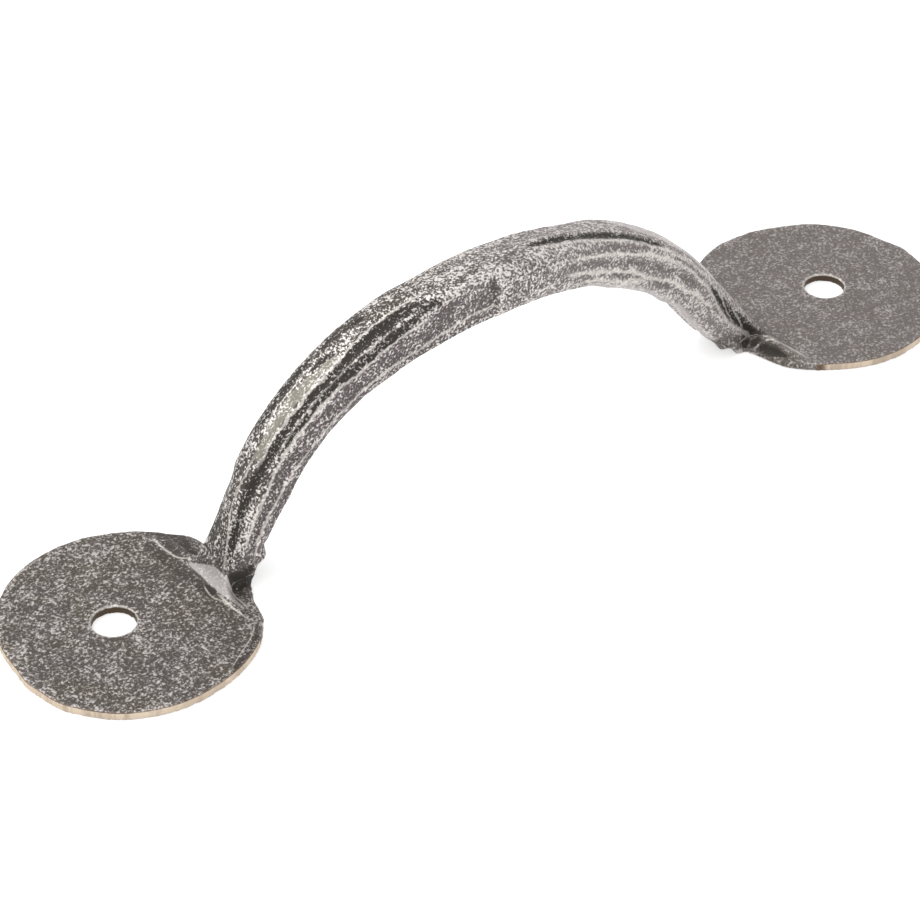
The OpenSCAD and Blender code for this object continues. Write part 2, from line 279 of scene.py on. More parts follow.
RUB_AND_GLINT_LINES = (
    RubAndGlintLine(((-57, -2.9), (-53, -1.7), (-50, -0.9), (-48, -0.3), (-44, -0.25), (-41, -0.2), (-38.5, 0.1)),
            0.2, 0.75),
    RubAndGlintLine(((-42, -1.5), (-36, -1.45), (-31, -1.55), (-27, -1.6), (-24, -1.4), (-20, -0.85),
             (-16, -0.65), (-12, -0.6), (-8, -1.0)), 0.2, 0.95),
    RubAndGlintLine(((-39, 0.1), (-36, 0.4), (-35, 0.9), (-31.5, 1.0), (-29, 1.05), (-26.5, 0.8)), 0.14, 0.7),
    RubAndGlintLine(((-53, -4.4), (-48, -4.1), (-44, -4.2), (-40, -4.0), (-36, -3.95), (-33, -4.1), (-29, -4.25),
             (-26, -4.45), (-24, -4.85), (-21, -4.95), (-17, -4.8), (-14, -4.95), (-10, -5.3)),
            0.27, 1.0),
    RubAndGlintLine(((-38, -3.05), (-33, -3.1), (-27, -3.05), (-20, -3.1), (-15, -3.1)), 0.12, 0.45),
    RubAndGlintLine(((-55, -7.0), (-51, -6.1), (-46, -6.2), (-42, -6.5), (-38, -6.8), (-35, -7.3), (-30, -7.55),
             (-25, -7.8), (-19, -8.1), (-13, -8.6), (-6, -8.6), (2, -8.7)), 0.24, 0.9),
    RubAndGlintLine(((7, -2.0), (14, -2.6), (20, -2.95), (26, -3.3), (34, -3.4), (48, -3.4)), 0.34, 0.7),
    RubAndGlintLine(((11, -5.1), (18, -5.05), (24, -4.9), (30, -4.6), (36, -4.45), (42, -4.5), (46, -4.75),
             (49, -5.4), (52, -5.85), (55, -5.5), (59, -5.1)), 0.28, 1.0),
    RubAndGlintLine(((10, -7.1), (17, -7.35), (22, -7.45), (27, -7.6), (30, -7.75), (35, -7.15), (40, -6.75),
             (44, -6.2), (48, -5.7)), 0.34, 1.0),
    RubAndGlintLine(((14, -8.7), (21, -8.75), (26, -8.6), (30, -7.9)), 0.28, 0.9),
    RubAndGlintLine(((45.5, -3.5), (48.5, -4.1), (51, -4.9), (54, -5.5)), 0.16, 0.9),
    RubAndGlintLine(((50, -3.7), (53, -4.3), (56.5, -5.3)), 0.16, 0.8),
    # Across the feet: painted highlights on the creases and bent edges.
    RubAndGlintLine(((3.4, -45.6), (4.2, -45.9), (5.5, -46.8), (7.1, -47.2), (8.9, -47.3), (11.6, -47.1)),
            0.17, 0.95, True),
    RubAndGlintLine(((-11.0, -46.0), (-8.3, -46.6), (-5.1, -46.8), (-3.2, -46.8)), 0.15, 0.85, True),
    RubAndGlintLine(((-8.8, -45.5), (-7.4, -45.1), (-4.5, -45.2), (-2.4, -45.0)), 0.17, 1.0, True),
    RubAndGlintLine(((-5.2, -47.0), (-3.6, -47.6), (-2.2, -47.5), (-0.8, -47.1)), 0.13, 0.7, True),
    RubAndGlintLine(((-16.8, -54.2), (-14.8, -51.0), (-12.7, -47.8), (-11.7, -46.8), (-10.3, -45.8)),
            0.16, 0.75, True),
    RubAndGlintLine(((-12.2, 46.6), (-10.5, 46.3), (-7.5, 45.8), (-5.6, 45.1), (-4.0, 44.2)), 0.17, 0.8, True),
    RubAndGlintLine(((-7.2, 45.3), (-6.2, 45.0), (-5.2, 44.4), (-4.8, 43.6)), 0.14, 0.9, True),
)


@dataclass
class HandleSizes:
    """Sizes of the handle, as in the CAD model."""

    hole_spacing: float = 120.0
    plate_d: float = 34.4
    sheet: float = 1.2
    hole_d: float = 5.9
    hole_set: float = 1.9
    bow_rise: float = 32.0
    crown_shift: float = -2.4
    crown_length: float = 40.0
    crown_r: float = 60.0
    slopes: dict[End, float] = field(default_factory=lambda: {End.LEFT: 68.0, End.RIGHT: 54.0})
    crease_set: float = 14.2
    crease_r: float = 2.0

    @property
    def plate_r(self) -> float:
        """Radius of a plate."""
        return self.plate_d / 2

    @property
    def plate_x(self) -> float:
        """Distance of a plate's middle from the handle's."""
        return self.hole_spacing / 2 - self.hole_set

    @property
    def crease_x(self) -> float:
        """Distance of a crease from the handle's middle."""
        return self.hole_spacing / 2 - self.crease_set

    def slope(self, end: End) -> float:
        """Slope of a leg, in radians."""
        return math.radians(self.slopes[end])

    def bend(self, end: End) -> float:
        """Distance from the crown to where a plate starts."""
        return (self.crease_x - end.value * self.crown_shift
                + self.crease_r * math.tan(self.slope(end) / 2))

    def chord(self, x: float) -> float:
        """Half the width of a plate at distance x from the handle's middle."""
        return math.sqrt(max(0.0, self.plate_r ** 2 - (x - self.plate_x) ** 2))


@dataclass
class BowOutline:
    """Side view of the bow's outer face: crown, shoulder, leg and crease."""

    sizes: HandleSizes
    end: End

    def __post_init__(self) -> None:
        """Works out the lengths of the four stretches."""
        size, slope = self.sizes, self.sizes.slope(self.end)
        self.turn = math.asin(size.crown_length / 2 / size.crown_r)
        self.crown = size.crown_r * self.turn
        out, drop = arc(size.crown_r, self.turn)
        self.crown_end = Vector((out, size.bow_rise - drop))
        foot = size.crease_x - self.end.value * size.crown_shift
        steep, flat = math.tan(slope), math.tan(self.turn)
        knee_x = (steep * foot + size.sheet - self.crown_end.y - flat * self.crown_end.x) / (steep - flat)
        knee = Vector((knee_x, self.crown_end.y - (knee_x - self.crown_end.x) * flat))
        reach = (knee - self.crown_end).length
        self.shoulder_r = reach / math.tan((slope - self.turn) / 2)
        self.shoulder = self.shoulder_r * (slope - self.turn)
        self.crease = size.crease_r * slope
        top = knee + reach * Vector((math.cos(slope), -math.sin(slope)))
        out, drop = arc(size.crease_r, slope)
        self.leg = (Vector((size.bend(self.end) - out, size.sheet + drop)) - top).length
        self.total = self.crown + self.shoulder + self.leg + self.crease

    def station(self, length: float) -> Station:
        """Finds the place at a length along the outer face.

        Args:
            length: Distance along the face from the crown's middle.

        Returns:
            The station there.
        """
        size, slope = self.sizes, self.sizes.slope(self.end)
        run = max(0.0, self.total - length)
        bend = size.bend(self.end)
        if length <= self.crown:
            angle = length / size.crown_r
            x, drop = arc(size.crown_r, angle)
            z = size.bow_rise - drop
        elif length <= self.crown + self.shoulder:
            angle = self.turn + (length - self.crown) / self.shoulder_r
            x = self.crown_end.x + self.shoulder_r * (math.sin(angle) - math.sin(self.turn))
            z = self.crown_end.y + self.shoulder_r * (math.cos(angle) - math.cos(self.turn))
        elif run > self.crease:
            angle, up = slope, run - self.crease
            out, drop = arc(size.crease_r, slope)
            x, z = bend - out - up * math.cos(slope), size.sheet + drop + up * math.sin(slope)
        else:
            angle = run / size.crease_r
            out, drop = arc(size.crease_r, angle)
            x, z = bend - out + max(0.0, length - self.total), size.sheet + drop
        return Station(self.end, x, z, angle, run, self.end.value * length)


@dataclass
class ChannelSection:
    """Cross section of the rolled sheet, from flat at a plate to a closed channel.

    A rounding takes up at most the share one_end of a side that has one
    rounding, and the share both_ends of a side that has two.
    """

    sizes: HandleSizes
    crown_w: float = 9.6
    crown_d: float = 7.3
    leg_w: float = 7.1
    leg_d: float = 6.8
    foot_d: dict[End, float] = field(default_factory=lambda: {End.LEFT: 4.8, End.RIGHT: 6.2})
    corner: float = 2.9
    foot_corner: float = 0.8
    foot_run: float = 16.0
    seam_w: float = 1.6
    spread: dict[End, tuple[float, float]] = field(
        default_factory=lambda: {End.LEFT: (8.3, 11.2), End.RIGHT: (12.0, 10.4)})
    closing: tuple[float, float] = (3.0, 2.2)
    lip_closing: float = 5.0
    pocket: float = 1.1
    narrow: float = 0.4
    widest_share: float = 0.85
    flank_share: float = 0.8
    open_rounds: tuple[float, float] = (1.4, 0.8)
    tightest: float = 0.15
    one_end: float = 0.95
    both_ends: float = 0.48
    web_steps: int = 8
    corner_steps: int = 14
    flank_steps: int = 6
    lip_steps: int = 3

    def channel(self, place: Station) -> Corners:
        """Returns the corners of the closed channel at a station."""
        share = ease(place.reach / self.sizes.crease_x)
        low = ease(1 - place.run / self.foot_run)
        half = mix(self.crown_w, self.leg_w, share) / 2
        depth = mix(mix(self.crown_d, self.leg_d, share), self.foot_d[place.end], low)
        return Corners(
            Vector((half, 0)), Vector((half, depth)), Vector((self.seam_w / 2, depth)),
            mix(self.corner, self.foot_corner, low),
            min(self.corner, (half - self.seam_w / 2) * self.one_end),
        )

    def opened(self, place: Station, half: Half, closed: Corners) -> Corners:
        """Returns the corners right at a crease, where the sheet opens into the plate."""
        shift = place.end.value * self.sizes.crown_shift
        rise = place.height / math.cos(place.slope)
        depth = min(rise, closed.hollow.y) - self.sizes.sheet
        widest = self.sizes.chord(self.sizes.bend(place.end) + shift) * self.widest_share
        ridge = min(self.spread[place.end][half.value], widest)
        edge = max(
            self.sizes.chord(place.reach - rise * math.sin(place.slope) + shift),
            closed.hollow.x + self.narrow,
        )
        return Corners(Vector((ridge, 0)), Vector(((ridge + edge) / 2, depth * self.flank_share)),
                       Vector((edge, depth)), *self.open_rounds)

    def corners(self, place: Station, half: Half) -> Corners:
        """Returns the corners of one half at a station."""
        closed = self.channel(place)
        wide = self.opened(place, half, closed)
        closing = self.closing[half.value]
        fold = ease(place.run / closing)
        turn = ease((place.run - closing) / self.lip_closing)
        flank = wide.hollow.lerp(Vector((closed.hollow.x, wide.lip.y)), fold)
        flank.x -= self.pocket * 4 * fold * (1 - fold)
        lip = max(self.narrow, (wide.lip - flank).length * (1 - turn) ** 2,
                  (closed.hollow.x - closed.lip.x) * (2 * turn - 1))
        aim = Vector((math.cos(math.pi * turn), math.sin(math.pi * turn)))
        low = flank + Vector((0, self.sizes.sheet * (1 - max(0.0, aim.x)) - lip * aim.y))
        return Corners(
            wide.ridge.lerp(closed.ridge, fold), low, low + lip * aim if turn > 0 else wide.lip,
            mix(wide.ridge_round, closed.ridge_round, fold),
            mix(wide.hollow_round, closed.hollow_round, turn),
        )

    def hidden(self, shape: Corners) -> Corners:
        """Returns the same corners on the sheet's hidden side."""
        sheet = self.sizes.sheet
        web, flank = Vector((1, 0)), (shape.hollow - shape.ridge).normalized()
        lip = (shape.lip - shape.hollow).normalized()

        def left_of(way: Vector) -> Vector:
            return Vector((-way.y, way.x))

        def mitre(a: Vector, b: Vector) -> Vector:
            return sheet * (left_of(a) + left_of(b)) / (1 + a.dot(b))

        def shorter(a: Vector, b: Vector) -> float:
            return sheet * (a.x * b.y - a.y * b.x) / (1 + a.dot(b))

        return Corners(
            shape.ridge + mitre(web, flank), shape.hollow + mitre(flank, lip),
            shape.lip + sheet * left_of(lip),
            max(self.tightest, shape.ridge_round - shorter(web, flank)),
            max(self.tightest, shape.hollow_round - shorter(flank, lip)),
        )

    def half_line(self, shape: Corners, middle: Vector) -> list[Vector]:
        """Draws half a section through its corners.

        Args:
            shape: The corners and their roundings.
            middle: Where the line starts, in the middle of the web.

        Returns:
            The points of the line, as distance from the middle and depth.
        """
        def toward(a: Vector, b: Vector, step: float, share: float) -> Vector:
            gap = (b - a).length
            return a.lerp(b, min(step, gap * share) / max(gap, 1e-9))

        def stretch(a: Vector, b: Vector, steps: int) -> list[Vector]:
            return [a.lerp(b, i / steps) for i in range(steps)]

        def rounded(a: Vector, b: Vector, c: Vector, steps: int) -> list[Vector]:
            return [a.lerp(b, i / steps).lerp(b.lerp(c, i / steps), i / steps) for i in range(steps)]

        web_end = toward(shape.ridge, middle, shape.ridge_round, self.one_end)
        flank_start = toward(shape.ridge, shape.hollow, shape.ridge_round, self.both_ends)
        flank_end = toward(shape.hollow, shape.ridge, shape.hollow_round, self.both_ends)
        lip_start = toward(shape.hollow, shape.lip, shape.hollow_round, self.one_end)
        return (
            stretch(middle, web_end, self.web_steps)
            + rounded(web_end, shape.ridge, flank_start, self.corner_steps)
            + stretch(flank_start, flank_end, self.flank_steps)
            + rounded(flank_end, shape.hollow, lip_start, self.corner_steps)
            + stretch(lip_start, shape.lip, self.lip_steps) + [shape.lip.copy()]
        )

    def whole_line(self, near: Corners, far: Corners, middle: Vector) -> list[Vector]:
        """Draws a whole section, from the near free edge to the far one."""
        near_line = self.half_line(near, middle)
        return ([Vector((-p.x, p.y)) for p in reversed(near_line[1:])] + self.half_line(far, middle))


@dataclass(frozen=True)
class SheetMark:
    """A point of the sheet with its place on the unrolled strip."""

    where: Vector
    along_way: Vector
    across_way: Vector
    along: float
    across: float
    tarnish_and_shading: float

    def places(self, point: Vector) -> tuple[float, float]:
        """Returns how far along and across the sheet a point near this one is."""
        off = point - self.where
        return self.along + off.dot(self.along_way), self.across + off.dot(self.across_way)


@dataclass
class RolledBow:
    """The strip between the plates, rolled into a fluted channel and bent.

    At the right foot each half's clearance is how far out, and how high, its
    edge stays off the door. At the left foot the near edge comes in from the
    mouth to the waist.
    """

    sizes: HandleSizes
    section: ChannelSection
    step: float = 0.5
    tongue: float = 1.5
    clearance: dict[Half, tuple[float, float]] = field(
        default_factory=lambda: {Half.NEAR: (41.6, 1.6), Half.FAR: (40.6, 3.0)})
    clearance_fade: float = 1.4
    mouth: float = 8.8
    waist: float = 3.75
    waist_start: float = 3.0
    waist_run: float = 1.6
    drawn_start: float = 2.6
    drawn_run: float = 0.6
    marks: list[SheetMark] = field(default_factory=list)

    def stations(self) -> list[Station]:
        """Returns the stations of all sections, from the left plate to the right one."""
        places: dict[End, list[Station]] = {}
        for end in End:
            outline = BowOutline(self.sizes, end)
            whole = outline.total + self.tongue
            count = math.ceil(whole / self.step)
            places[end] = [outline.station(whole * i / count) for i in range(count + 1)]
        return places[End.LEFT][:0:-1] + places[End.RIGHT]

    def pressed(self, place: Station) -> list[Vector]:
        """Makes one closed ring of the channel with its flutes.

        Args:
            place: The station of the ring.

        Returns:
            The ring's points: the outer face, then the hidden face backwards.
        """
        halves = [self.section.corners(place, half) for half in Half]
        face = self.section.whole_line(halves[0], halves[1], Vector((0, 0)))
        back = self.section.whole_line(
            self.section.hidden(halves[0]), self.section.hidden(halves[1]), Vector((0, self.sizes.sheet)))
        middle = len(face) // 2
        across = [0.0] * len(face)
        for i in range(middle + 1, len(face)):
            across[i] = across[i - 1] + (face[i] - face[i - 1]).length
        for i in range(middle - 1, -1, -1):
            across[i] = across[i + 1] - (face[i] - face[i + 1]).length
        outer, inner = [], []
        for i, point in enumerate(face):
            way = (face[min(i + 1, len(face) - 1)] - face[max(i - 1, 0)]).normalized()
            found = [flute.at(place.along, across[i]) for flute in FLUTES]
            push = Vector((-way.y, way.x)) * sum(depth for depth, _ in found)
            pair = self.placed(place, point + push), self.placed(place, back[i] + push)
            move = self.settling(place, Half.FAR if i > middle else Half.NEAR, pair)
            outer.append(pair[0] + move)
            inner.append(pair[1] + move)
            dark = max(-1.0, min(1.0, sum(tarnish_and_shading for _, tarnish_and_shading in found)))
            run = Vector((math.cos(place.slope), 0, -place.end.value * math.sin(place.slope)))
            turn = self.placed(place, point + way) - self.placed(place, point)
            self.marks.append(SheetMark(outer[-1], run, turn, place.along, across[i], dark))
        return outer + inner[::-1]

    def settling(self, place: Station, half: Half, pair: tuple[Vector, Vector]) -> Vector:
        """Finds how far the sheet's edge moves at a foot.

        Args:
            place: The station.
            half: The half of the channel.
            pair: A point of the outer face and the one behind it.

        Returns:
            How far both points move.
        """
        if place.end is End.RIGHT:
            reach, least = self.clearance[half]
            lift = max(0.0, least - min(point.z for point in pair))
            return Vector((0, 0, lift * ease((reach - pair[0].x) / self.clearance_fade)))
        if half is Half.FAR:
            return Vector((0, 0, 0))
        widest = mix(self.mouth, self.waist, ease((place.run - self.waist_start) / self.waist_run))
        draw = max(0.0, -widest - min(point.y for point in pair))
        return Vector((0, draw * ease((place.run - self.drawn_start) / self.drawn_run), 0))

    def placed(self, place: Station, point: Vector) -> Vector:
        """Stands a point of a section up at its station."""
        return Vector((
            self.sizes.crown_shift + place.end.value * (place.reach - point.y * math.sin(place.slope)),
            point.x,
            place.height - point.y * math.cos(place.slope),
        ))

    def build(self) -> bmesh.types.BMesh:
        """Rolls and bends a flat grid into the bow.

        Returns:
            The closed strip.
        """
        rings = [self.pressed(place) for place in self.stations()]
        around = len(rings[0])
        strip = bmesh.new()
        bmesh.ops.create_grid(strip, x_segments=len(rings) - 1, y_segments=around, size=1)
        for vert in strip.verts:
            row = round((vert.co.x + 1) / 2 * (len(rings) - 1))
            column = round((vert.co.y + 1) / 2 * around) % around
            vert.co = rings[row][column]
        bmesh.ops.remove_doubles(strip, verts=strip.verts, dist=1e-5)
        bmesh.ops.holes_fill(strip, edges=[e for e in strip.edges if e.is_boundary], sides=0)
        bmesh.ops.recalc_face_normals(strip, faces=strip.faces)
        return strip


@dataclass
class RoundPlate:
    """One flat round plate with its screw hole."""

    sizes: HandleSizes
    end: End
    segments: int = 160
    rim_wear: float = 0.18
    burr: float = 0.12
    sharp: float = 1.0

    def build(self) -> bmesh.types.BMesh:
        """Cuts the plate from a ring and gives it its thickness.

        Returns:
            The closed plate, from the crease outwards.
        """
        size, side = self.sizes, self.end.value
        plate = bmesh.new()
        hole_r, hole_x = size.hole_d / 2 - self.burr, size.hole_spacing / 2
        for radius, middle in ((size.plate_r, size.plate_x), (hole_r, hole_x)):
            bmesh.ops.create_circle(plate, segments=self.segments, radius=radius,
                                    matrix=Matrix.Translation((side * middle, 0, 0)))
        bmesh.ops.bridge_loops(plate, edges=plate.edges[:])
        cut = side * size.bend(self.end) + size.crown_shift
        bmesh.ops.bisect_plane(plate, geom=plate.verts[:] + plate.edges[:] + plate.faces[:],
                               plane_co=(cut, 0, 0), plane_no=(-side, 0, 0), clear_outer=True)
        bmesh.ops.recalc_face_normals(plate, faces=plate.faces)
        bmesh.ops.solidify(plate, geom=plate.faces[:], thickness=size.sheet)
        bmesh.ops.recalc_face_normals(plate, faces=plate.faces)
        floor = min(v.co.z for v in plate.verts)
        bmesh.ops.translate(plate, verts=plate.verts, vec=(0, 0, -floor))
        rim_pale = [e for e in plate.edges if self.is_rim(e, cut)]
        bmesh.ops.bevel(plate, geom=rim_pale, offset=self.rim_wear, offset_type="OFFSET", affect="EDGES",
                        segments=3, profile=0.5, material=-1, clamp_overlap=True)
        return plate

    def is_rim(self, edge: bmesh.types.BMEdge, cut: float) -> bool:
        """Tells whether an edge is on the worn upper rim, and not at the cut or the hole."""
        hole_r, hole_x = self.sizes.hole_d / 2, self.sizes.hole_spacing / 2
        if any(abs(v.co.z - self.sizes.sheet) > SAME for v in edge.verts):
            return False
        if all(abs(v.co.x - cut) < SAME for v in edge.verts):
            return False
        if any(math.hypot(abs(v.co.x) - hole_x, v.co.y) < hole_r for v in edge.verts):
            return False
        return edge.is_manifold and edge.calc_face_angle(0.0) > self.sharp


@dataclass(frozen=True)
class HammeredRim:
    """How a plate's hammered rim leaves the circle.

    Each mark is an angle round the plate's middle, in degrees from the
    handle's own length, and how far the rim stands outside the circle there.
    """

    end: End
    marks: tuple[tuple[float, float], ...]

    def at(self, angle: float) -> float:
        """Returns how far the rim stands outside the circle at an angle."""
        turn = (math.degrees(angle) - self.marks[0][0]) % 360 + self.marks[0][0]
        closed = (*self.marks, (self.marks[0][0] + 360, self.marks[0][1]))
        for start, stop in zip(closed, closed[1:]):
            if turn <= stop[0]:
                break
        return mix(start[1], stop[1], ease((turn - start[0]) / (stop[0] - start[0])))


@dataclass
class ForgedHandle:
    """The whole handle, welded into one skin and marked by the hammer."""

    sizes: HandleSizes = field(default_factory=HandleSizes)
    voxel: float = 0.22
    triangles: int = 192000
    dents: tuple[tuple[float, float, tuple[float, float, float]], ...] = (
        (0.09, 0.22, (0, 0, 0)), (0.045, 0.6, (7, 3, 1)), (0.03, 1.5, (0, 0, 0)))
    rims: tuple[HammeredRim, ...] = (
        HammeredRim(End.LEFT, (
            (10, -0.4), (30, 1.0), (42, 0.1), (51, -0.6), (60, -0.6), (80, -0.5), (112, -0.35),
            (150, -0.8), (178, -1.0), (194, -0.3), (214, 0.5), (238, 0.95), (258, 0.9), (276, 0.6),
            (298, 0.5), (322, 0.2), (344, -0.9))),
        HammeredRim(End.RIGHT, (
            (0, 0.3), (15, -0.1), (46, 0.1), (65, -0.4), (84, -0.2), (105, 0.2), (126, 0.4), (150, 0.4),
            (200, 0.25), (216, 0.85), (236, 0.4), (262, 0.65), (284, 0.6), (325, 0.4))),
    )
    rim_height: float = 4.0
    rim_fade: float = 2.5
    rim_share: float = 0.5
    rim_reach: float = 8.0
    still_height: float = 0.15
    still_fade: float = 0.7
    bow_height: float = 1.35
    bow_fade: float = 0.8
    foot_height: float = 3.4
    on_sheet: float = 0.8
    levels: tuple[tuple[str, int, float], ...] = (("edge", 3, 0.035), ("relief", 26, 0.13))

    def build(self) -> bpy.types.Object:
        """Builds the handle's object.

        Returns:
            The finished object, in metres, with its marks as attributes.
        """
        bow = RolledBow(self.sizes, ChannelSection(self.sizes))
        rough = bpy.data.meshes.new("handle_rough")
        joined = bmesh.new()
        for part in (bow.build(), *(RoundPlate(self.sizes, end).build() for end in End)):
            part.to_mesh(rough)
            joined.from_mesh(rough)
            part.free()
        joined.to_mesh(rough)
        joined.free()
        skin = placed_in_scene("forged_handle", rough)
        self.modified(skin, "REMESH", mode="VOXEL", voxel_size=self.voxel)
        LOG.info("welded skin: %d faces", len(skin.data.polygons))
        self.hammered(skin.data)
        self.marked(skin.data, bow.marks)
        sides = sum(len(p.vertices) - 2 for p in skin.data.polygons)
        self.modified(skin, "DECIMATE", ratio=min(1.0, self.triangles / sides))
        skin.data.polygons.foreach_set("use_smooth", [True] * len(skin.data.polygons))
        LOG.info("forged handle: %d faces", len(skin.data.polygons))
        return skin

    def modified(self, thing: bpy.types.Object, kind: str, **settings: object) -> None:
        """Applies one modifier to an object.

        Args:
            thing: The object.
            kind: The modifier's type.
            settings: The modifier's properties.
        """
        change = thing.modifiers.new(kind.lower(), kind)
        for name, value in settings.items():
            setattr(change, name, value)
        graph = bpy.context.evaluated_depsgraph_get()
        thing.data, old = bpy.data.meshes.new_from_object(thing.evaluated_get(graph)), thing.data
        thing.modifiers.clear()
        bpy.data.meshes.remove(old)

    def hammered(self, skin: bpy.types.Mesh) -> None:
        """Leaves the marks of the hammer and brings the skin to metres.

        Args:
            skin: The welded skin, in millimetres.
        """
        shape = bmesh.new()
        shape.from_mesh(skin)
        soften(shape, 2)
        shape.normal_update()
        for vert in shape.verts:
            at = vert.co
            free = ease((at.z - self.still_height) / self.still_fade)
            stands = sum(height * noise.noise(at * close + Vector(start))
                         for height, close, start in self.dents)
            vert.co = at + vert.normal * free * stands
            vert.co.z = max(0.0, vert.co.z)
        for rim in self.rims:
            self.spread(shape, rim)
        bmesh.ops.scale(shape, verts=shape.verts, vec=(MM, MM, MM))
        shape.to_mesh(skin)
        shape.free()

    def spread(self, shape: bmesh.types.BMesh, rim: HammeredRim) -> None:
        """Moves a plate's rim off its circle, and nothing near its hole."""
        side, radius = rim.end.value, self.sizes.plate_r
        middle = Vector((side * self.sizes.plate_x, 0, 0))
        start, inner = self.sizes.crease_x - self.rim_reach, self.rim_share
        for vert in shape.verts:
            arm = vert.co - middle
            arm.z = 0
            share = arm.length / radius
            if share < inner or vert.co.z > self.rim_height or vert.co.x * side < start:
                continue
            low = ease((self.rim_height - vert.co.z) / self.rim_fade)
            off = rim.at(math.atan2(arm.y, arm.x)) * ease((share - inner) / (1 - inner)) * low
            vert.co += arm.normalized() * off

    def marked(self, skin: bpy.types.Mesh, marks: list[SheetMark]) -> None:
        """Writes what the finish follows: relief, rims, tarnish with its painted shade and painted light,
        and the sheet's own run.

        Args:
            skin: The finished mesh, in metres.
            marks: Points of the strip with their places and their tarnish, which also carries painted
                shade and painted light.
        """
        tree = KDTree(len(marks))
        for i, mark in enumerate(marks):
            tree.insert(mark.where, i)
        tree.balance()
        shape = bmesh.new()
        shape.from_mesh(skin)
        shape.normal_update()
        normals = [v.normal.copy() for v in shape.verts]
        places = [v.co / MM for v in shape.verts]
        values = {name: [0.0] * len(places) for name in SKIN_MARKS}
        for name, rounds, full in self.levels:
            soften(shape, rounds)
            shape.verts.ensure_lookup_table()
            for i, vert in enumerate(shape.verts):
                stands = (places[i] - vert.co / MM).dot(normals[i])
                values[name][i] = max(-1.0, min(1.0, stands / full))
        shape.free()
        for i, at in enumerate(places):
            _, index, gap = tree.find(at)
            mark = marks[index]
            on_bow = ease((at.z - self.bow_height) / self.bow_fade)
            along, across = mark.places(at)
            tarnish_and_shading = mark.tarnish_and_shading * on_bow * (1.0 if gap < self.on_sheet else 0.3)
            # At the feet, the patches add painted shade in the recesses and painted highlights on the
            # creases.
            if at.z < self.foot_height:
                tarnish_and_shading += sum(foot_patch.at(at) for foot_patch in FOOT_SHADE_AND_GLINT)
            values["tarnish_and_shading"][i] = max(-1.0, min(1.0, tarnish_and_shading))
            values["along"][i] = mix(at.x, along, on_bow)
            values["across"][i] = mix(at.y, across, on_bow)
            values["rim"][i] = self.cut_edge(at, normals[i])
        for name, numbers in values.items():
            skin.attributes.new(name, "FLOAT", "POINT").data.foreach_set("value", numbers)

    def cut_edge(self, at: Vector, normal: Vector) -> float:
        """Finds how much of a plate's cut edge there is at a point of the skin.

        Args:
            at: The point, in millimetres.
            normal: The skin's own direction there.

        Returns:
            The share: 1 on the upright outer edge and 0 on the faces, at the
            screw hole and on the bow.
        """
        outwards = math.hypot(abs(at.x) - self.sizes.plate_x, at.y) - self.sizes.plate_r
        from_hole = math.hypot(abs(at.x) - self.sizes.hole_spacing / 2, at.y)
        upright = ease((1 - abs(normal.z)) / 0.8)
        low = ease((1.6 - at.z) / 0.3)
        past_crease = ease((abs(at.x) - 45.4) / 4)
        at_rim = ease((outwards + 2.4) / 0.4)
        return upright * low * past_crease * at_rim * ease(from_hole - 4)


